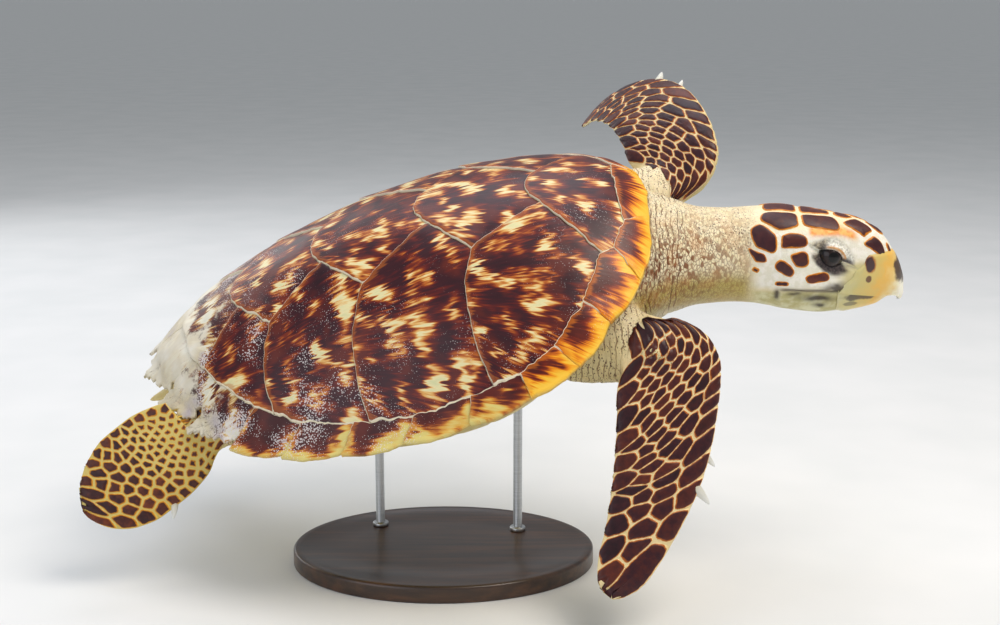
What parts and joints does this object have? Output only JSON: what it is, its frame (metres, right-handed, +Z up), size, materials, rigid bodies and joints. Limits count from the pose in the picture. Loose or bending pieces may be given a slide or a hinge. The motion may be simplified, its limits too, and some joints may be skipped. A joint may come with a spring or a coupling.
{
  "type": "hawksbill sea turtle model",
  "caption": "Life-size hawksbill sea turtle in a banked swimming pose, beaked head forward, flippers spread, on an oval display stand with short rods.",
  "frame": {"origin": "on the floor, under the middle of the whole model's box", "axes": "+X towards the head, +Y to the turtle's left, +Z up"},
  "size_m": [0.8572, 0.5314, 0.5197],
  "materials": {
    "back_scutes": "glossy horn scutes, dark maroon brown with amber and cream rays",
    "rim_scutes": "glossy horn scutes, brown and amber with a yellow border",
    "tail_scutes": "worn pale cream horn scutes",
    "plastron": "satin pale yellow horn",
    "skin": "cream skin, finely wrinkled and speckled brown",
    "flipper_skin": "dark plum-brown scales with amber edges and cream seams",
    "claw": "smooth cream claw",
    "eye": "wet dark eye",
    "beak": "satin tan horn with dark blotches",
    "stand_wood": "dark stained, satin",
    "stand_steel": "brushed"
  },
  "bodies": {
    "root": {"scute_nuchal": "rim_scutes", "scute_vertebral_1": "back_scutes", "scute_vertebral_2": "back_scutes", "scute_vertebral_3": "back_scutes", "scute_vertebral_4": "back_scutes", "scute_vertebral_5": "tail_scutes", "scute_costal_right_1": "back_scutes", "scute_costal_right_2": "back_scutes", "scute_costal_right_3": "back_scutes", "scute_costal_right_4": "back_scutes", "scute_marginal_right_1": "rim_scutes", "scute_marginal_right_2": "rim_scutes", "scute_marginal_right_3": "rim_scutes", "scute_marginal_right_4": "rim_scutes", "scute_marginal_right_5": "rim_scutes", "scute_marginal_right_6": "rim_scutes", "scute_marginal_right_7": "rim_scutes", "scute_marginal_right_8": "rim_scutes", "scute_marginal_right_9": "rim_scutes", "scute_marginal_right_10": "tail_scutes", "scute_marginal_right_11": "tail_scutes", "scute_marginal_right_12": "tail_scutes", "scute_costal_left_1": "back_scutes", "scute_costal_left_2": "back_scutes", "scute_costal_left_3": "back_scutes", "scute_costal_left_4": "back_scutes", "scute_marginal_left_1": "rim_scutes", "scute_marginal_left_2": "rim_scutes", "scute_marginal_left_3": "rim_scutes", "scute_marginal_left_4": "rim_scutes", "scute_marginal_left_5": "rim_scutes", "scute_marginal_left_6": "rim_scutes", "scute_marginal_left_7": "rim_scutes", "scute_marginal_left_8": "rim_scutes", "scute_marginal_left_9": "rim_scutes", "scute_marginal_left_10": "tail_scutes", "scute_marginal_left_11": "tail_scutes", "scute_marginal_left_12": "tail_scutes", "plastron": "plastron", "trunk": "skin", "head": "skin", "beak_upper": "beak", "beak_lower": "beak", "eye_left": "eye", "eye_right": "eye", "neck": "skin", "flipper_front_right": "flipper_skin", "claw_front_right_1": "claw", "claw_front_right_2": "claw", "flipper_front_left": "flipper_skin", "claw_front_left_1": "claw", "claw_front_left_2": "claw", "flipper_rear_right": "flipper_skin", "claw_rear_right_1": "claw", "flipper_rear_left": "flipper_skin", "claw_rear_left_1": "claw", "tail": "skin", "stand_base": "stand_wood", "stand_rod_front": "stand_steel", "stand_rod_rear": "stand_steel"}
  },
  "joints": []
}
